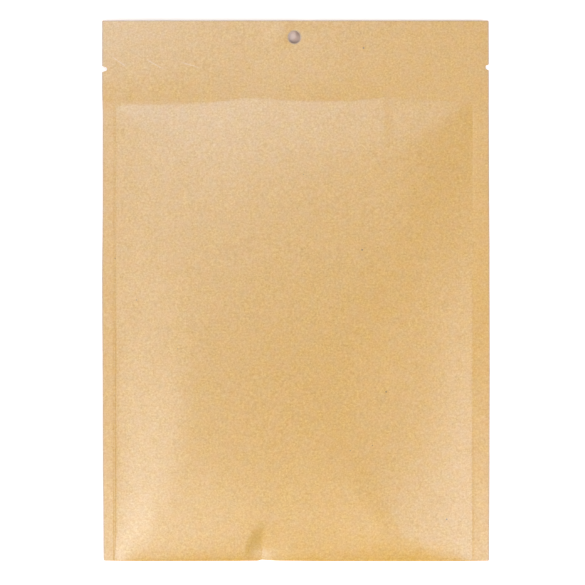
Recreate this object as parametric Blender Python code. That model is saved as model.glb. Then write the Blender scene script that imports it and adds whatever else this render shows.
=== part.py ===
"""Flat brown paper pouch, filled a little and sealed shut.

One sheet of paper laminate is folded up at the bottom. Its two layers are
sealed together down both sides and across a wide flat header at the top,
which carries a round hang hole and a tear notch at each edge.

Metres, +Z up. The pouch lies on its back: its front faces +Z, its header
is toward +Y and X runs across it. The origin is the centre of its
footprint, on the surface that it lies on.
"""

import math

import bmesh
import bpy

# Sheet
POUCH_WIDTH = 0.200
POUCH_HEIGHT = 0.280
LAYER_THICKNESS = 0.00014

# Seals
HEADER_HEIGHT = 0.0423
LEFT_SEAL_WIDTH = 0.0062
RIGHT_SEAL_WIDTH = 0.0077

# How far the filling lifts the front panel off the seals, and how far the seals stand over the table
FRONT_RISE = 0.0050
FRONT_CROWN = 0.0010
BACK_RISE = 0.0030

# How far in from each seal or fold the front goes on rising
LEFT_SLOPE = 0.034
RIGHT_SLOPE = 0.026
TOP_SLOPE = 0.034
BOTTOM_ROLL = 0.012
BOTTOM_SLOPE = 0.058
BOTTOM_ROLL_RISE = 0.0024

# The back panel reaches the table this far in from the seals and the fold
BACK_SLOPE = 0.016

# Width of the soft ridge where two slopes meet, as a rise
RIDGE_SOFTNESS = 0.0006

# Pinched crease that runs up from the bottom fold
PINCH_FROM_CENTRE = -0.0187
PINCH_HEIGHT = 0.020
PINCH_HALF_WIDTH = 0.009
PINCH_DEPTH = 0.0011

# Hang hole
HOLE_DIAMETER = 0.00635
HOLE_BELOW_TOP = 0.0089
HOLE_FROM_CENTRE = -0.0007

# Tear notches
LEFT_NOTCH_BELOW_TOP = 0.0256
RIGHT_NOTCH_BELOW_TOP = 0.0246
NOTCH_DEPTH = 0.0024
NOTCH_MOUTH = 0.0027
NOTCH_TIP_DROP = 0.0004

# How far a cutter runs past the faces that it cuts
CUT_PAST = 0.002

SIDE = POUCH_WIDTH / 2
END = POUCH_HEIGHT / 2
BODY_LEFT = -SIDE + LEFT_SEAL_WIDTH
BODY_RIGHT = SIDE - RIGHT_SEAL_WIDTH
BODY_TOP = END - HEADER_HEIGHT
BODY_BOTTOM = -END
SEAL_UNDERSIDE = BACK_RISE
SEAL_TOP = BACK_RISE + 2 * LAYER_THICKNESS


def climb(distance, run):
    """0 at the edge, 1 from `run` inward, and level where it gets there."""
    share = min(max(distance / run, 0.0), 1.0)
    return 1.0 - (1.0 - share) ** 1.7


def lower_of(first, second, softness):
    """The smaller of two values, with the kink between them rounded."""
    blend = min(max(0.5 + 0.5 * (second - first) / softness, 0.0), 1.0)
    mixed = second * (1.0 - blend) + first * blend
    return mixed - softness * blend * (1.0 - blend)


def front_height(x, y):
    """Height of the front panel at a point of the sheet."""
    if x <= BODY_LEFT or x >= BODY_RIGHT or y >= BODY_TOP:
        return SEAL_TOP
    from_left = FRONT_RISE * climb(x - BODY_LEFT, LEFT_SLOPE)
    from_right = FRONT_RISE * climb(BODY_RIGHT - x, RIGHT_SLOPE)
    from_top = FRONT_RISE * climb(BODY_TOP - y, TOP_SLOPE)
    up = y - BODY_BOTTOM
    roll = min(up / BOTTOM_ROLL, 1.0)
    from_fold = BOTTOM_ROLL_RISE * math.sqrt(1.0 - (1.0 - roll) ** 2)
    from_fold += (FRONT_RISE - BOTTOM_ROLL_RISE) * climb(up, BOTTOM_SLOPE)
    across = lower_of(from_left, from_right, RIDGE_SOFTNESS)
    along = lower_of(from_top, from_fold, RIDGE_SOFTNESS)
    rise = max(lower_of(across, along, RIDGE_SOFTNESS), 0.0)

    to_side = (2 * x - BODY_LEFT - BODY_RIGHT) / (BODY_RIGHT - BODY_LEFT)
    to_end = (2 * y - BODY_TOP - BODY_BOTTOM) / (BODY_TOP - BODY_BOTTOM)
    crown = FRONT_CROWN * (1.0 - to_side**2) * (1.0 - to_end**2)

    pinch = max(1.0 - abs(x - PINCH_FROM_CENTRE) / PINCH_HALF_WIDTH, 0.0)
    pinch *= max(1.0 - up / PINCH_HEIGHT, 0.0)
    lift = rise + crown - PINCH_DEPTH * pinch * min(rise / PINCH_DEPTH, 1.0)
    return SEAL_TOP + lift


def back_height(x, y):
    """Height of the back panel, which is pressed flat where it meets the table."""
    if x <= BODY_LEFT or x >= BODY_RIGHT or y >= BODY_TOP:
        return SEAL_UNDERSIDE
    inward = min(x - BODY_LEFT, BODY_RIGHT - x, BODY_TOP - y, y - BODY_BOTTOM)
    return SEAL_UNDERSIDE - BACK_RISE * climb(inward, BACK_SLOPE)


def stations(stops, cells):
    """Positions from the first stop to the last, each gap split into its number of cells."""
    positions = [stops[0]]
    for start, end, count in zip(stops, stops[1:], cells):
        for step in range(1, count + 1):
            positions.append(start + (end - start) * step / count)
    return positions


def pouch_mesh():
    """The closed outer skin of the sealed pouch."""
    columns = stations(
        (-SIDE, BODY_LEFT, BODY_LEFT + LEFT_SLOPE, BODY_RIGHT - RIGHT_SLOPE, BODY_RIGHT, SIDE),
        (1, 8, 9, 7, 1),
    )
    rows = stations(
        (BODY_BOTTOM, BODY_BOTTOM + BOTTOM_ROLL, BODY_BOTTOM + BOTTOM_SLOPE, BODY_TOP - TOP_SLOPE, BODY_TOP, END),
        (6, 8, 8, 8, 1),
    )
    bm = bmesh.new()
    front = [[bm.verts.new((x, y, front_height(x, y))) for x in columns] for y in rows]
    back = [[bm.verts.new((x, y, back_height(x, y))) for x in columns] for y in rows]
    last_row = len(rows) - 1
    last_column = len(columns) - 1
    for row in range(last_row):
        for column in range(last_column):
            # Each cell is split along the diagonal that follows the nearer corner's ridge.
            falls = (columns[column] < 0) == (rows[row] < 0)
            for grid, outward in ((front, True), (back, False)):
                corners = [
                    grid[row][column],
                    grid[row][column + 1],
                    grid[row + 1][column + 1],
                    grid[row + 1][column],
                ]
                if not falls:
                    corners = corners[1:] + corners[:1]
                halves = ((corners[0], corners[1], corners[2]), (corners[0], corners[2], corners[3]))
                for half in halves:
                    bm.faces.new(half if outward else half[::-1])
    rim = [(0, column) for column in range(last_column)]
    rim += [(row, last_column) for row in range(last_row)]
    rim += [(last_row, column) for column in range(last_column, 0, -1)]
    rim += [(row, 0) for row in range(last_row, 0, -1)]
    for start, end in zip(rim, rim[1:] + rim[:1]):
        bm.faces.new(
            (
                back[start[0]][start[1]],
                back[end[0]][end[1]],
                front[end[0]][end[1]],
                front[start[0]][start[1]],
            )
        )
    mesh = bpy.data.meshes.new("pouch")
    bm.to_mesh(mesh)
    bm.free()
    return mesh


def cutter(name, bm):
    """An object that only cuts, drawn as wire and left out of a render."""
    mesh = bpy.data.meshes.new(name)
    bm.to_mesh(mesh)
    bm.free()
    body = bpy.data.objects.new(name, mesh)
    body.hide_render = True
    body.display_type = "WIRE"
    bpy.context.collection.objects.link(body)
    return body


def hole_cutter():
    """The round punch of the hang hole."""
    bm = bmesh.new()
    bmesh.ops.create_cone(
        bm,
        cap_ends=True,
        segments=36,
        radius1=HOLE_DIAMETER / 2,
        radius2=HOLE_DIAMETER / 2,
        depth=2 * (LAYER_THICKNESS + CUT_PAST),
    )
    body = cutter("hang_hole_punch", bm)
    body.location = (HOLE_FROM_CENTRE, END - HOLE_BELOW_TOP, SEAL_UNDERSIDE + LAYER_THICKNESS)
    return body


def notch_cutter(name, side, below_top):
    """The small wedge punched out of one edge of the header. `side` is -1 for the left and 1 for the right."""
    middle = END - below_top
    half = NOTCH_MOUTH / 2
    # The wedge goes on past the edge at the same slope, so that its mouth keeps its size.
    tip_x = side * (SIDE - NOTCH_DEPTH)
    tip_y = middle - NOTCH_TIP_DROP
    reach = (NOTCH_DEPTH + CUT_PAST) / NOTCH_DEPTH
    upper = tip_y + (middle + half - tip_y) * reach
    lower = tip_y + (middle - half - tip_y) * reach
    outer_x = side * (SIDE + CUT_PAST)
    outline = [(tip_x, tip_y), (outer_x, lower), (outer_x, upper)]
    bm = bmesh.new()
    floor = [bm.verts.new((x, y, SEAL_UNDERSIDE - CUT_PAST)) for x, y in outline]
    base = bm.faces.new(floor)
    grown = bmesh.ops.extrude_face_region(bm, geom=[base])
    raised = [item for item in grown["geom"] if isinstance(item, bmesh.types.BMVert)]
    bmesh.ops.translate(bm, vec=(0, 0, 2 * (LAYER_THICKNESS + CUT_PAST)), verts=raised)
    bmesh.ops.recalc_face_normals(bm, faces=bm.faces)
    return cutter(name, bm)


def brown_paper():
    """Unbleached brown paper, matt with a slight satin sheen."""
    material = bpy.data.materials.new("brown_paper")
    material.use_nodes = True
    shader = material.node_tree.nodes["Principled BSDF"]
    shader.inputs["Base Color"].default_value = (0.69, 0.425, 0.16, 1.0)
    shader.inputs["Roughness"].default_value = 0.5
    shader.inputs["Metallic"].default_value = 0.0
    return material


for old in list(bpy.data.objects):
    bpy.data.objects.remove(old, do_unlink=True)

pouch = bpy.data.objects.new("pouch", pouch_mesh())
bpy.context.collection.objects.link(pouch)
pouch.data.materials.append(brown_paper())

punches = [
    hole_cutter(),
    notch_cutter("left_notch_punch", -1, LEFT_NOTCH_BELOW_TOP),
    notch_cutter("right_notch_punch", 1, RIGHT_NOTCH_BELOW_TOP),
]
for punch in punches:
    cut = pouch.modifiers.new(punch.name, "BOOLEAN")
    cut.operation = "DIFFERENCE"
    cut.solver = "EXACT"
    cut.object = punch
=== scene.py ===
import math

import bpy
import numpy as np
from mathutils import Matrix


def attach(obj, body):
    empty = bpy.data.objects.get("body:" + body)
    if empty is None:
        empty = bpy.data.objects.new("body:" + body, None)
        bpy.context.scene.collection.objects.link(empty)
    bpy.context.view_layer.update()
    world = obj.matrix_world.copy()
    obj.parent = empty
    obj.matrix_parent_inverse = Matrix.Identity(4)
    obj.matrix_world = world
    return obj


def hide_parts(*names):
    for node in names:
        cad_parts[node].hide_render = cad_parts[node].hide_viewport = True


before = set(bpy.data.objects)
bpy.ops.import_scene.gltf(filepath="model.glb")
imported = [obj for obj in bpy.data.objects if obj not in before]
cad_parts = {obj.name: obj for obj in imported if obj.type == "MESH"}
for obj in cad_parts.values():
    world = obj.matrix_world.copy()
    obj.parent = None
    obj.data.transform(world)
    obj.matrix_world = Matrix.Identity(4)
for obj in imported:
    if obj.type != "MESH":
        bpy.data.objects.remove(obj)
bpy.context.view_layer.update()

# The sheet: one piece of brown paper, lined with a thin film, folded up at the
# bottom and trimmed at the sides and top. The trimmed edges wander by a few
# tenths of a millimetre, and the filling draws the sides in near the bottom.

mm = 0.001
pouch_width = 200 * mm
pouch_height = 280 * mm
two_layers = 0.28 * mm
back_depth = 3.0 * mm

left_seal = 6.2 * mm
right_seal = 8.4 * mm
header = 42.3 * mm

body_left = -pouch_width / 2 + left_seal
body_right = pouch_width / 2 - right_seal
body_top = pouch_height / 2 - header
fold_line = -pouch_height / 2

left_trim = (
    (-140, 0.53), (-116, 0.4), (-93, 0.15), (-60, 0.08), (5, -0.23),
    (46, 0.08), (92, 0.08), (104, -0.18), (140, -0.15),
)
right_trim = (
    (-140, 0.2), (-131, 0.25), (-85, 0.4), (-40, 0.5),
    (15, 0.34), (62, 0.12), (97, -0.03), (140, -0.1),
)
top_trim = ((-100, -0.18), (20, -0.13), (100, -0.1))
fold_trim = (
    (-100, 0.22), (-90, 0.1), (-78, 0.04), (-50, 0.05), (-34, 0.1), (-20, 0.2), (-17.6, 0.75),
    (-14, 0.5), (-8, 0.2), (18, 0.0), (60, -0.05), (88, -0.02), (98, 0.1),
)
corner_round = 0.5 * mm


def drawn_through(stops, where):
    """A soft curve through (position, value) stops given in millimetres, level at each stop."""
    at = np.array([stop[0] for stop in stops]) * mm
    value = np.array([stop[1] for stop in stops]) * mm
    step = np.clip(np.searchsorted(at, where) - 1, 0, len(at) - 2)
    share = np.clip((where - at[step]) / (at[step + 1] - at[step]), 0, 1)
    share = share * share * (3 - 2 * share)
    return value[step] + (value[step + 1] - value[step]) * share


# The tear notches are two small round-ended nips in the trimmed edges, cut through
# both layers so that the header can be torn off. The left one is the deeper.

left_notch = {"depth": 2.45 * mm, "tip": 114.65 * mm, "above": 1.3 * mm, "below": 1.4 * mm}
right_notch = {"depth": 1.6 * mm, "tip": 115.8 * mm, "above": 1.1 * mm, "below": 1.6 * mm}


def notched(y, notch):
    """How far a notch cuts the edge in at each height."""
    up = y - notch["tip"]
    share = np.where(up > 0, up / notch["above"], -up / notch["below"])
    return notch["depth"] * (1 - np.clip(share, 0, 1) ** 4)


# The mesh lines of the sheet lie about a millimetre and a half apart, and closer
# along the seals, the fold, the notches and the round hang hole, which is punched
# through the header.

hole_x = -0.67 * mm
hole_y = 131.1 * mm
hole_radius = 3.175 * mm

line_gap = 1.6 * mm
gap_growth = 0.3


def ruled(start, end, places):
    """Line positions from start to end, closer near each (middle, half width, gap) place."""
    lines = [start]
    while lines[-1] < end:
        gap = line_gap
        for middle, half, fine in places:
            away = max(abs(lines[-1] - middle) - half, 0.0)
            gap = min(gap, fine + gap_growth * away)
        lines.append(lines[-1] + gap)
    lines = np.array(lines)
    return start + (lines - start) * (end - start) / (lines[-1] - start)


across = ruled(
    -pouch_width / 2,
    pouch_width / 2,
    [
        (-pouch_width / 2, 2.6 * mm, 0.35 * mm),
        (body_left, 0.8 * mm, 0.3 * mm),
        (-21 * mm, 6 * mm, 0.5 * mm),
        (hole_x, 3.4 * mm, 0.36 * mm),
        (47 * mm, 3 * mm, 0.7 * mm),
        (body_right, 0.8 * mm, 0.3 * mm),
        (pouch_width / 2, 1.0 * mm, 0.35 * mm),
    ],
)
upward = ruled(
    fold_line,
    pouch_height / 2,
    [
        (fold_line, 1.2 * mm, 0.3 * mm),
        (body_top, 2.5 * mm, 0.5 * mm),
        (115.2 * mm, 2.4 * mm, 0.25 * mm),
        (hole_y, 3.4 * mm, 0.36 * mm),
        (pouch_height / 2, 0.7 * mm, 0.3 * mm),
    ],
)
grid_x, grid_y = np.meshgrid(across, upward)

# Only the lines near an edge follow it: those in the outer part of a side seal, and
# those in a band along the top and the fold.
seal_share = 0.8
end_band = 5 * mm

near_left = np.clip(1 - (grid_x + pouch_width / 2) / (left_seal * seal_share), 0, 1)
near_right = np.clip(1 - (pouch_width / 2 - grid_x) / (right_seal * seal_share), 0, 1)
near_top = np.clip(1 - (pouch_height / 2 - grid_y) / end_band, 0, 1)
near_fold = np.clip(1 - (grid_y - fold_line) / end_band, 0, 1)
to_corner = np.minimum(grid_y - fold_line, pouch_height / 2 - grid_y)
short_of_round = np.clip(corner_round - to_corner, 0, None)
rounded = corner_round - np.sqrt(np.clip(corner_round**2 - short_of_round**2, 0, None))
cut_left = drawn_through(left_trim, grid_y) + notched(grid_y, left_notch) + rounded
cut_right = drawn_through(right_trim, grid_y) - notched(grid_y, right_notch) - rounded
sheet_x = grid_x + near_left * cut_left + near_right * cut_right
sheet_y = grid_y + near_top * drawn_through(top_trim, grid_x)
sheet_y += near_fold * drawn_through(fold_trim, grid_x)


# The filling lifts the front panel off the seals like a low hipped roof: four
# nearly flat slopes meet in soft ridges round a gently crowned middle, and the
# bottom fold rolls over tightly. The paper is stiff, so the slopes stay plain.

header_edge = (
    (-95, -2.0), (-85, -1.8), (-60, -1.6), (-47, -1.0), (-37, 0.3), (-29, 1.8), (-18, 2.1), (-8, 1.0),
    (5, 0.3), (28, 0.5), (38, 1.5), (46, 2.6), (56, 1.6), (68, 0.5), (92, 0.0),
)

# The crown: (power across, power upward, millimetres), with both directions
# running from -1 to 1 over the body. It sags a little towards the lower right.
crown_terms = (
    (0, 0, 4.45), (0, 1, -2.73), (0, 2, -2.28), (0, 3, 2.6), (0, 4, -1.1),
    (1, 0, -0.33), (2, 0, -0.65), (3, 0, 2.6), (4, 0, 0.47),
    (1, 1, -0.9), (1, 2, 0.17), (1, 3, 1.38), (2, 1, -1.84), (2, 2, 2.34), (3, 1, -2.6),
)
sag_x = 50 * mm
sag_y = -114 * mm
sag_reach = 26 * mm
sag_depth = 0.5 * mm

# Each slope is given at a few places along it, in millimetres from the middle of
# the pouch: how steep its foot is beside the seal, at which height it eases, in
# millimetres, and how steep its brow is above that.
left_places = (-140, -119, -93, -72, -52, -43, -5, 47, 98)
left_foot = (0.156, 0.213, 0.224, 0.195, 0.196, 0.22, 0.137, 0.092, 0.06)
left_ease = (0.78, 0.4, 0.6, 0.72, 0.55, 0.46, 0.56, 0.5, 0.65)
left_brow = (0.158, 0.136, 0.12, 0.109, 0.113, 0.111, 0.086, 0.09, 0.111)
left_kink = 0.57 * mm

right_places = (-140, -124, -111, -99, -92, -72, -46, -15, 15, 23, 47, 73, 98)
right_foot = (
    0.089, 0.084, 0.085, 0.086, 0.089, 0.091, 0.093, 0.096, 0.099, 0.089, 0.084, 0.067, 0.077,
)
right_ease = (0.5, 0.5, 0.3, 0.32, 0.4, 0.53, 0.62, 0.55, 0.5, 0.42, 0.25, 0.39, 1.0)
right_brow = (
    0.067, 0.078, 0.08, 0.074, 0.069, 0.061, 0.058, 0.066, 0.07, 0.076, 0.09, 0.08, 0.105,
)
right_kink = 0.3 * mm
right_lead_in = 0.6 * mm

top_places = (-94, -70, -39, -3, 33, 51, 70, 92)
top_foot = (0.15, 0.07, 0.06, 0.0605, 0.0625, 0.0615, 0.076, 0.074)

fold_places = (-94, -75, -50, -24, 18, 54, 75, 92)
fold_brow = (0.012, 0.094, 0.084, 0.088, 0.14, 0.148, 0.153, 0.118)
roll_height = (0.9, 0.65, 1.2, 1.55, 0.75, 1.15, 0.3, 1.05)
roll_places = (-94, -31, 31, 92)
roll_width = (20.3, 22, 21.9, 5.2)

left_ridge = 0.64 * mm
right_ridge = 1.2 * mm
top_ridge = 0.44 * mm
fold_ridge = 1.06 * mm

back_run = 16 * mm
back_round = 1.7


def softly_lower(first, second, softness):
    """The smaller of two heights, with the kink between them rounded."""
    blend = np.clip(0.5 + 0.5 * (second - first) / softness, 0, 1)
    return second * (1 - blend) + first * blend - softness * blend * (1 - blend)


def summed(terms, u, v):
    """The height in metres of (power of u, power of v, millimetres) terms."""
    return sum(value * u**i * v**j for i, j, value in terms) * mm


def along(places, values, where):
    """The value at each position, straight from one place to the next."""
    return np.interp(where / mm, places, values)


def side_slope(y, inward, places, foot, ease, brow, kink):
    """The height of a side slope, steep at its foot and easier at its brow."""
    lower = along(places, foot, y) * inward
    upper = along(places, ease, y) * mm + along(places, brow, y) * inward
    return softly_lower(lower, upper, kink)


def front_rise(x, y):
    """How far the front panel stands above the seals."""
    u = 2 * (x - body_left) / (body_right - body_left) - 1
    v = 2 * (y - fold_line) / (body_top - fold_line) - 1
    crown = summed(crown_terms, u, v)
    crown -= sag_depth * np.exp(-(((x - sag_x) / sag_reach) ** 2) - ((y - sag_y) / sag_reach) ** 2)
    from_left = side_slope(y, x - body_left, left_places, left_foot, left_ease, left_brow, left_kink)
    inward = body_right - x
    inward = np.where(inward > 0, np.hypot(inward, right_lead_in) - right_lead_in, inward)
    from_right = side_slope(y, inward, right_places, right_foot, right_ease, right_brow, right_kink)
    seal_edge = body_top + drawn_through(header_edge, x)
    from_top = along(top_places, top_foot, x) * (seal_edge - y)
    up = y - fold_line
    rolled = np.clip(up / (along(roll_places, roll_width, x) * mm), 0, 1)
    from_fold = along(fold_places, roll_height, x) * mm * np.sqrt(1 - (1 - rolled) ** 2)
    from_fold += along(fold_places, fold_brow, x) * up
    lifted = softly_lower(crown, from_left, left_ridge)
    lifted = softly_lower(lifted, from_right, right_ridge)
    lifted = softly_lower(lifted, from_top, top_ridge)
    lifted = softly_lower(lifted, from_fold, fold_ridge)
    return np.maximum(lifted, 0)


def back_fall(x, y):
    """How far the back panel hangs below the seals, pressed flat where it meets the table."""
    from_sides = np.minimum(x - body_left, body_right - x)
    from_ends = np.minimum(body_top - y, y - fold_line)
    share = np.clip(np.minimum(from_sides, from_ends) / back_run, 0, 1)
    return back_depth * (1 - (1 - share) ** back_round)


# Creases in the front panel. Where the fold was pinched, a dart runs up from it: a
# steep flank falls to the crease from the left and a gentle one rises to the right.
# Below the header a faint pleat steps down, where the panel took up some slack.

pinch_x = -18.0 * mm
pinch_lean = 0.04
pinch_depth = 1.6 * mm
pinch_falls_over = 8.5 * mm
pinch_rises_over = 10.5 * mm
pinch_curve = 1.3
pinch_narrows_by = 21 * mm
pinch_fades_by = 18 * mm

pleat_x = 47.3 * mm
pleat_half_step = 0.09 * mm
pleat_half_width = 1.1 * mm
pleat_length = 26 * mm


def pinch(x, y):
    """The dart over the fold, from 0 round it to 1 at its deepest."""
    up = y - fold_line
    crease = pinch_x + pinch_lean * up
    swell = np.sqrt(np.clip(1 - (up / pinch_narrows_by) ** 2, 0.02, 1))
    falling = np.clip(1 + (x - crease) / (pinch_falls_over * swell), 0, 1)
    rising = np.exp(-np.clip(x - crease, 0, None) / pinch_rises_over)
    fade = np.clip(1 - up / pinch_fades_by, 0, 1)
    return falling**pinch_curve * rising * fade


def pleat(x, y):
    """The step of the faint pleat under the header."""
    fade = np.clip(1 - (body_top + 2 * mm - y) / pleat_length, 0, 1)
    return pleat_half_step * np.tanh((x - pleat_x) / pleat_half_width) * fade


# The seals aren't quite flat: the hot bars and the shrinking lining leave the
# header in long low waves with a few bumps. The side seals tilt a little along
# their length, and end in a narrow groove beside the pocket.

# The waves: (power across, power upward, millimetres), across from -1 to 1 over
# the pouch and upward from 0 to 1 over the header.
wave_terms = (
    (1, 0, -0.06), (2, 0, -0.01), (4, 0, 0.38),
    (0, 1, 0.17), (1, 1, -0.3), (2, 1, 0.89), (3, 1, 0.1), (4, 1, -0.45),
    (0, 2, 0.46), (2, 2, -0.9),
)
wave_carries_down = 35 * mm

# Each bump in millimetres: its middle, its reach across and downward, its height.
# It reaches further upward than downward.
header_bumps = (
    (-72, 112, 34, 12, 0.48),
    (18, 110, 30, 10, 0.30),
    (-7, 132.5, 5, 5, 0.26),
)
bump_upward = 2.5
bump_start = 4 * mm

tilt_places = (-140, -60, 20, 98)
left_tilt = (-0.065, -0.042, -0.031, -0.07)
right_tilt = (-0.062, -0.044, 0.036, 0.022)
tilt_fades_over = 8 * mm

groove_inset = 0.1 * mm
groove_width = 0.42 * mm
left_groove = 0.08 * mm
right_groove = 0.02 * mm


def seal_waves(x, y):
    """Height of the sealed margins over their resting plane."""
    u = x / (pouch_width / 2)
    w = np.clip((y - body_top) / header, 0, 1)
    wave = summed(wave_terms, u, w)
    for middle_x, middle_y, reach_x, reach_y, height in header_bumps:
        over = y / mm - middle_y
        over = np.where(over > 0, over / bump_upward, over)
        far = ((x / mm - middle_x) / reach_x) ** 2 + (over / reach_y) ** 2
        wave += height * mm * np.exp(-far) * np.clip((y - body_top) / bump_start, 0, 1)
    wave *= np.exp(-np.clip(body_top - y, 0, None) / wave_carries_down)
    strip = np.clip(body_left - x, 0, None) * along(tilt_places, left_tilt, y)
    strip += np.clip(x - body_right, 0, None) * along(tilt_places, right_tilt, y)
    strip -= left_groove * np.exp(-(((x - body_left - groove_inset) / groove_width) ** 2))
    strip -= right_groove * np.exp(-(((x - body_right + groove_inset) / groove_width) ** 2))
    return wave + strip * np.clip((body_top + 2 * mm - y) / tilt_fades_over, 0, 1)


# The two panels, joined along the trimmed edges, the fold and the hang hole. The
# creases fade out where the panel runs down to the seals.

pinch_full_at = 1.5 * mm
pleat_full_at = 0.8 * mm

rise = front_rise(sheet_x, sheet_y)
rise -= pinch_depth * pinch(sheet_x, sheet_y) * np.clip(rise / pinch_full_at, 0, 1)
rise -= pleat(sheet_x, sheet_y) * np.clip(rise / pleat_full_at, 0, 1)
seal_lift = seal_waves(sheet_x, sheet_y)
front_z = back_depth + two_layers + rise + seal_lift
back_z = back_depth - back_fall(sheet_x, sheet_y) + seal_lift

from_hole = np.hypot(sheet_x - hole_x, sheet_y - hole_y)
cell_x = (sheet_x[:-1, :-1] + sheet_x[1:, 1:]) / 2
cell_y = (sheet_y[:-1, :-1] + sheet_y[1:, 1:]) / 2
paper_cells = np.hypot(cell_x - hole_x, cell_y - hole_y) > hole_radius
punched = np.zeros(sheet_x.shape, int)
for down, right in ((0, 0), (0, 1), (1, 0), (1, 1)):
    rows = slice(down, sheet_x.shape[0] - 1 + down)
    columns = slice(right, sheet_x.shape[1] - 1 + right)
    punched[rows, columns] += ~paper_cells
on_rim = (punched > 0) & (punched < 4)
sheet_x = np.where(on_rim, hole_x + (sheet_x - hole_x) * hole_radius / from_hole, sheet_x)
sheet_y = np.where(on_rim, hole_y + (sheet_y - hole_y) * hole_radius / from_hole, sheet_y)

number = np.arange(sheet_x.size).reshape(sheet_x.shape)
corners = [number[:-1, :-1], number[:-1, 1:], number[1:, 1:], number[1:, :-1]]
cells = np.stack(corners, -1)[paper_cells]
sides = np.concatenate([cells[:, [0, 1]], cells[:, [1, 2]], cells[:, [2, 3]], cells[:, [3, 0]]])
side_names = np.sort(sides, 1) @ np.array([sheet_x.size, 1])
_, first, uses = np.unique(side_names, return_index=True, return_counts=True)
trimmed = sides[first[uses == 1]]
starts, ends = trimmed[:, 0], trimmed[:, 1]
to_back = sheet_x.size
walls = np.stack([ends, starts, starts + to_back, ends + to_back], -1)
front_points = np.stack([sheet_x, sheet_y, front_z], -1).reshape(-1, 3)
back_points = np.stack([sheet_x, sheet_y, back_z], -1).reshape(-1, 3)
points = np.concatenate([front_points, back_points])
faces = np.concatenate([cells, cells[:, ::-1] + to_back, walls])
used, packed_faces = np.unique(faces, return_inverse=True)
mesh = bpy.data.meshes.new("pouch_sheet")
mesh.from_pydata(points[used].tolist(), [], packed_faces.reshape(-1, 4).tolist())

paper_finish, cut_finish = 0, 1
on_fold = sheet_y.reshape(-1)[trimmed].max(1) < fold_line + 1 * mm
finish_of = np.full(len(faces), paper_finish, np.int32)
finish_of[-len(walls) :] = np.where(on_fold, paper_finish, cut_finish)
mesh.polygons.foreach_set("material_index", finish_of)
mesh.shade_smooth()
mesh.set_sharp_from_angle(angle=math.radians(50))


def marked(name, share):
    """Keeps a share from 0 to 1 at each point of both panels, for the paper's colours."""
    share = share.reshape(-1)
    mark = mesh.attributes.new(name, "FLOAT", "POINT")
    mark.data.foreach_set("value", np.concatenate([share, share])[used])


# A grey-brown line darkens the paper along the trimmed sides and top and round the hang hole.
trim_line = 0.8 * mm
from_sides = np.minimum(grid_x + pouch_width / 2, pouch_width / 2 - grid_x)
from_trim = np.minimum(from_sides, pouch_height / 2 - grid_y)
from_trim = np.minimum(from_trim, np.abs(from_hole - hole_radius))
marked("outline_darkening", np.clip(1 - from_trim / trim_line, 0, 1))

strip_edge = 0.6 * mm
right_strip_share = 0.6
strip_end = 118 * mm
strip_fade = 20 * mm
in_strips = np.clip((body_left - grid_x) / strip_edge, 0, 1)
in_strips += right_strip_share * np.clip((grid_x - body_right) / strip_edge, 0, 1)
marked("heat_sealed", in_strips * np.clip((strip_end - grid_y) / strip_fade, 0, 1))

# The dart's steep flank by the fold is painted darker with crease shade, and its sheen is dulled
# there.
dart_shade_x = pinch_x - 6.83 * mm
dart_shade_lean = 0.35
dart_shade_half_width = 5 * mm
dart_shade_middle = 11 * mm
dart_shade_half_height = 11 * mm
over_fold = grid_y - fold_line
from_dart_shade = ((grid_x - dart_shade_x - dart_shade_lean * over_fold) / dart_shade_half_width) ** 2
from_dart_shade += ((over_fold - dart_shade_middle) / dart_shade_half_height) ** 2
marked("dart_shade_and_matt", np.clip(1 - from_dart_shade, 0, 1))

pouch = bpy.data.objects.new("pouch_sheet", mesh)
bpy.context.collection.objects.link(pouch)


# Unbleached paper: a sheet of short pressed fibres, paler and darker ones mixed,
# cloudy where they lie thicker, with a few specks of bark, and scuffed in places.
# Its lining and the calendering of its face give it a slight satin sheen.

dark_fibre = (0.570, 0.251, 0.0, 1)
pale_fibre = (0.886, 0.581, 0.134, 1)
smoky_fibre = (0.62, 0.43, 0.30, 1)
russet_fibre = (0.86, 0.40, 0.14, 1)
bark = (0.16, 0.075, 0.03, 1)
rubbed = (0.95, 0.80, 0.58, 1)
toasted_fibre = (0.86, 0.42, 0.035, 1)
# Painted crease shade for the dart's steep flank by the fold.
dart_painted_shade = (0.40, 0.25, 0.035, 1)
outline_grey = (0.44, 0.33, 0.27, 1)
satin_tint = (0.65, 0.79, 0.97, 1)

paper_pulp_scale = 1150.0
cloud_strength = 0.05
hair_strength = 0.16


def node(tree, kind, sockets=None, **settings):
    """A shader node with its settings made first and then its sockets set or linked by name."""
    made = tree.nodes.new(kind)
    for name, value in settings.items():
        setattr(made, name, value)
    for name, value in (sockets or {}).items():
        if isinstance(value, bpy.types.NodeSocket):
            tree.links.new(value, made.inputs[name])
        else:
            made.inputs[name].default_value = value
    return made


def maths(tree, operation, *values):
    """One maths node of two or three numbers or sockets."""
    return node(tree, "ShaderNodeMath", dict(enumerate(values)), operation=operation).outputs["Value"]


def ramp(tree, value, low, high, at_low=0.0, at_high=1.0):
    """`value` mapped from low and high to at_low and at_high, and no further."""
    ends = {"From Min": low, "From Max": high, "To Min": at_low, "To Max": at_high}
    return node(tree, "ShaderNodeMapRange", {"Value": value, **ends}).outputs["Result"]


def noise(tree, place, scale, **more):
    """Soft noise at a place."""
    sockets = {"Vector": place, "Scale": scale}
    sockets.update((name.capitalize(), value) for name, value in more.items())
    return node(tree, "ShaderNodeTexNoise", sockets).outputs["Fac"]


def strongest(tree, masks):
    """The largest of several masks."""
    best = masks[0]
    for mask in masks[1:]:
        best = maths(tree, "MAXIMUM", best, mask)
    return best


def blended(tree, share, under, over):
    """Two colours, each given or from a socket, mixed by a share of the second."""
    colours = {"Factor": share, 6: under, 7: over}
    return node(tree, "ShaderNodeMix", colours, data_type="RGBA").outputs[2]


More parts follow.
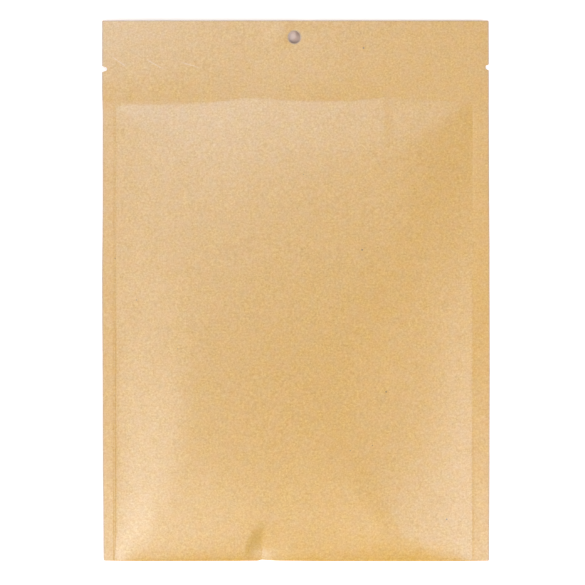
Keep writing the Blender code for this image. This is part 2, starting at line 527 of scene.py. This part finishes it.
fibres = bpy.data.node_groups.new("pressed_fibres", "ShaderNodeTree")
fibres.interface.new_socket("Place", in_out="INPUT", socket_type="NodeSocketVector")
fibres.interface.new_socket("Pulp Scale", in_out="INPUT", socket_type="NodeSocketFloat")
fibres.interface.new_socket("Pulp", in_out="OUTPUT", socket_type="NodeSocketFloat")
fibres.interface.new_socket("Hairs", in_out="OUTPUT", socket_type="NodeSocketFloat")
entry = fibres.nodes.new("NodeGroupInput")
leave = fibres.nodes.new("NodeGroupOutput")
pulp_place, pulp_scale = entry.outputs["Place"], entry.outputs["Pulp Scale"]
pulp = noise(fibres, pulp_place, pulp_scale, detail=3.0, roughness=0.6, distortion=0.5)
fibres.links.new(pulp, leave.inputs["Pulp"])
hairs = []
for lay in (18, 71, 128, 163):
    combed = {"Vector": pulp_place, "Rotation": (0, 0, math.radians(lay))}
    combed.update({"Location": (lay * 0.01, 0, 0), "Scale": (420, 3600, 2000)})
    turned = node(fibres, "ShaderNodeMapping", combed).outputs["Vector"]
    strand = noise(fibres, turned, 1.0, detail=1.0, distortion=0.8)
    hairs.append(ramp(fibres, strand, 0.60, 0.72))
fibres.links.new(strongest(fibres, hairs), leave.inputs["Hairs"])

paper = bpy.data.materials.new("brown_paper")
paper.use_nodes = True
tree = paper.node_tree
shader = tree.nodes["Principled BSDF"]
place = node(tree, "ShaderNodeTexCoord").outputs["Object"]
pressed = node(tree, "ShaderNodeGroup", node_tree=fibres)
tree.links.new(place, pressed.inputs["Place"])
pressed.inputs["Pulp Scale"].default_value = paper_pulp_scale
clouds = noise(tree, place, 130.0, detail=3.0, roughness=0.6)
cloudy = ramp(tree, clouds, 0.25, 0.75, -cloud_strength, cloud_strength)
mixture = maths(tree, "ADD", ramp(tree, pressed.outputs["Pulp"], 0.19, 0.81), cloudy)
haired = maths(tree, "MULTIPLY_ADD", pressed.outputs["Hairs"], hair_strength, mixture)

smoke = noise(tree, place, 215.0, detail=1.0, roughness=0.5)
elsewhere = node(tree, "ShaderNodeMapping", {"Vector": place, "Location": (0.4, 0.2, 0)})
blush = noise(tree, elsewhere.outputs["Vector"], 190.0, detail=1.0, roughness=0.5)

flat = node(tree, "ShaderNodeVectorMath", {0: place, 1: (1, 1, 0)}, operation="MULTIPLY")
flat = flat.outputs["Vector"]
specks = []
for speck_x, speck_y, radius in (
    (35.1, 125.6, 0.42),
    (34.3, 21.1, 0.40),
    (46.7, -52.2, 0.38),
    (78.1, -118.2, 0.34),
    (39.5, -79.9, 0.26),
    (-93.5, 16.7, 0.26),
    (-82.2, -4.8, 0.26),
    (28.1, -82.5, 0.24),
    (-61.0, -30.0, 0.20),
    (4.0, 60.0, 0.20),
):
    from_speck = {0: flat, 1: (speck_x * mm, speck_y * mm, 0)}
    off = node(tree, "ShaderNodeVectorMath", from_speck, operation="DISTANCE").outputs["Value"]
    specks.append(ramp(tree, off, radius * 1.45 * mm, radius * 0.7 * mm))

scuffs = []
for from_x, from_y, to_x, to_y in (
    (-95.6, 121.5, -86.8, 115.3),
    (-78.0, 120.0, -67.7, 114.3),
    (-59.9, 118.4, -49.5, 115.3),
):
    length = math.hypot(to_x - from_x, to_y - from_y) * mm
    lay = math.atan2(to_y - from_y, to_x - from_x)
    middle = ((from_x + to_x) / 2 * mm, (from_y + to_y) / 2 * mm, 0)
    laid = {"Vector": flat, "Location": middle, "Rotation": (0, 0, lay)}
    moved = node(tree, "ShaderNodeMapping", laid, vector_type="TEXTURE").outputs["Vector"]
    scuffed = node(tree, "ShaderNodeSeparateXYZ", {"Vector": moved})
    beside = maths(tree, "ABSOLUTE", scuffed.outputs["Y"])
    beyond = maths(tree, "ABSOLUTE", scuffed.outputs["X"])
    thin = ramp(tree, beside, 0.42 * mm, 0.1 * mm)
    short = ramp(tree, beyond, length / 2, length / 4)
    scuffs.append(maths(tree, "MULTIPLY", thin, short))

heat_sealed = node(tree, "ShaderNodeAttribute", attribute_name="heat_sealed").outputs["Fac"]
dart_shade_and_matt = node(tree, "ShaderNodeAttribute", attribute_name="dart_shade_and_matt").outputs["Fac"]
outline_darkening = node(tree, "ShaderNodeAttribute", attribute_name="outline_darkening").outputs["Fac"]

tone = blended(tree, haired, dark_fibre, pale_fibre)
for mask, strength, colour in (
    (ramp(tree, smoke, 0.3, 0.8), 0.21, smoky_fibre),
    (ramp(tree, blush, 0.3, 0.8), 0.25, russet_fibre),
    (strongest(tree, specks), 0.75, bark),
    (strongest(tree, scuffs), 0.28, rubbed),
    (heat_sealed, 0.12, toasted_fibre),
    # Painted crease shade darkens the dart's steep flank.
    (dart_shade_and_matt, 0.28, dart_painted_shade),
    # The grey-brown line along the trimmed edges and the hang hole's rim.
    (outline_darkening, 0.8, outline_grey),
):
    tone = blended(tree, maths(tree, "MULTIPLY", mask, strength), tone, colour)
tree.links.new(tone, shader.inputs["Base Color"])

roughness = ramp(tree, pressed.outputs["Pulp"], 0.3, 0.7, 0.316, 0.326)
tree.links.new(roughness, shader.inputs["Roughness"])
fibre_sheen = ramp(tree, haired, 0.0, 1.0, 0.5, 1.0)
sheen = maths(tree, "MULTIPLY", fibre_sheen, ramp(tree, dart_shade_and_matt, 0.0, 1.0, 1.0, 0.7))
tree.links.new(sheen, shader.inputs["Specular IOR Level"])
shader.inputs["IOR"].default_value = 1.9
shader.inputs["Specular Tint"].default_value = satin_tint
relief = node(tree, "ShaderNodeBump", {"Height": haired, "Strength": 0.07, "Distance": 0.05 * mm})
tree.links.new(relief.outputs["Normal"], shader.inputs["Normal"])
pouch.data.materials.append(paper)


# The trimmed edge shows the paler raw fibre inside the sheet. A blade cut it, so
# it is matt and a little ragged, with none of the satin of the face.

edge_dark = (0.50, 0.33, 0.15, 1)
edge_pale = (0.86, 0.72, 0.50, 1)
edge_pulp_scale = 2600.0

cut_edge = bpy.data.materials.new("trimmed_edge")
cut_edge.use_nodes = True
tree = cut_edge.node_tree
shader = tree.nodes["Principled BSDF"]
place = node(tree, "ShaderNodeTexCoord").outputs["Object"]
pressed = node(tree, "ShaderNodeGroup", node_tree=fibres)
tree.links.new(place, pressed.inputs["Place"])
pressed.inputs["Pulp Scale"].default_value = edge_pulp_scale
raw = blended(tree, pressed.outputs["Pulp"], edge_dark, edge_pale)
tree.links.new(raw, shader.inputs["Base Color"])
ragged = {"Height": pressed.outputs["Hairs"], "Strength": 0.3, "Distance": 0.05 * mm}
torn = node(tree, "ShaderNodeBump", ragged)
tree.links.new(torn.outputs["Normal"], shader.inputs["Normal"])
shader.inputs["Roughness"].default_value = 0.75
pouch.data.materials.append(cut_edge)

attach(pouch, "root")
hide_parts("pouch")


# The table is a plain matt board, wide enough for every view. Its pale colour is the
# board's own; its warm tint is painted bounce light, the warm light that the paper
# throws back onto the board where it lies in shadow, as under the hang hole. Around
# the pouch it is overexposed to white; under it the board stays in shadow.

table_reach = 4.0
table_top = -0.3 * mm
# Pale board colour with a warm tint of painted bounce light from the paper.
board_with_painted_bounce = (0.90, 0.74, 0.68, 1)
under_half_width = 98 * mm
under_half_height = 138 * mm
overexposed_by = 0.65

square = [(-1, -1), (1, -1), (1, 1), (-1, 1)]
table_points = [(x * table_reach, y * table_reach, table_top) for x, y in square]
table_mesh = bpy.data.meshes.new("table")
table_mesh.from_pydata(table_points, [], [(0, 1, 2, 3)])
table = bpy.data.objects.new("table", table_mesh)
bpy.context.collection.objects.link(table)

white = bpy.data.materials.new("white_board")
white.use_nodes = True
tree = white.node_tree
shader = tree.nodes["Principled BSDF"]
shader.inputs["Base Color"].default_value = board_with_painted_bounce
shader.inputs["Roughness"].default_value = 0.9
shader.inputs["Specular IOR Level"].default_value = 0.0
place = node(tree, "ShaderNodeTexCoord").outputs["Object"]
off = node(tree, "ShaderNodeSeparateXYZ", {"Vector": place})
off_x = maths(tree, "ABSOLUTE", off.outputs["X"])
off_y = maths(tree, "ABSOLUTE", off.outputs["Y"])
past_x = maths(tree, "GREATER_THAN", off_x, under_half_width)
past_y = maths(tree, "GREATER_THAN", off_y, under_half_height)
in_open = maths(tree, "MAXIMUM", past_x, past_y)
seen = node(tree, "ShaderNodeLightPath").outputs["Is Camera Ray"]
lift = maths(tree, "MULTIPLY", maths(tree, "MULTIPLY", seen, in_open), overexposed_by)
glow = node(tree, "ShaderNodeEmission", {"Color": (1, 1, 1, 1), "Strength": lift})
both = {0: shader.outputs["BSDF"], 1: glow.outputs["Emission"]}
lit = node(tree, "ShaderNodeAddShader", both)
tree.links.new(lit.outputs["Shader"], tree.nodes["Material Output"].inputs["Surface"])
table.data.materials.append(white)


# Studio: four soft boxes round a copy stand, in a dim room, with the camera straight
# above the pouch. A box's level is how bright a white sheet facing it would be,
# however far off the box stands, and all boxes look equally wide from the pouch.

box_spread = 0.416
room_level = 0.02
camera_height = 1.265

for name, direction, height_angle, distance, level, tint in (
    ("box_near", -127.0, 11.6, 1.35, 0.52, (0.92, 1.0, 1.08)),
    ("box_top", 111.8, 69.0, 1.757, 0.20, (1.0, 1.0, 1.0)),
    ("box_right", -26.9, 51.6, 1.29, 0.64, (0.96, 1.0, 1.04)),
    ("box_left", -140.5, 65.5, 8.0, 0.28, (1.08, 1.0, 0.92)),
):
    lamp = bpy.data.lights.new(name, "AREA")
    lamp.shape = "SQUARE"
    lamp.color = tint
    lamp.size = distance * box_spread
    lamp.energy = level * (math.pi * distance) ** 2
    box = bpy.data.objects.new(name, lamp)
    turn = math.radians(direction)
    lean = math.radians(height_angle)
    box.location = (
        distance * math.cos(lean) * math.cos(turn),
        distance * math.cos(lean) * math.sin(turn),
        distance * math.sin(lean),
    )
    box.rotation_euler = (math.pi / 2 - lean, 0, turn + math.pi / 2)
    bpy.context.collection.objects.link(box)

world = bpy.data.worlds.new("room")
world.use_nodes = True
world.node_tree.nodes["Background"].inputs["Color"].default_value = (1, 1, 1, 1)
world.node_tree.nodes["Background"].inputs["Strength"].default_value = room_level
bpy.context.scene.world = world

lens = bpy.data.cameras.new("copy_camera")
lens.lens = 150
lens.sensor_width = 36
lens.clip_end = 20
camera = bpy.data.objects.new("copy_camera", lens)
camera.location = (-1.66 * mm, -0.93 * mm, camera_height)
bpy.context.collection.objects.link(camera)
bpy.context.scene.camera = camera
bpy.context.scene.view_settings.view_transform = "Standard"
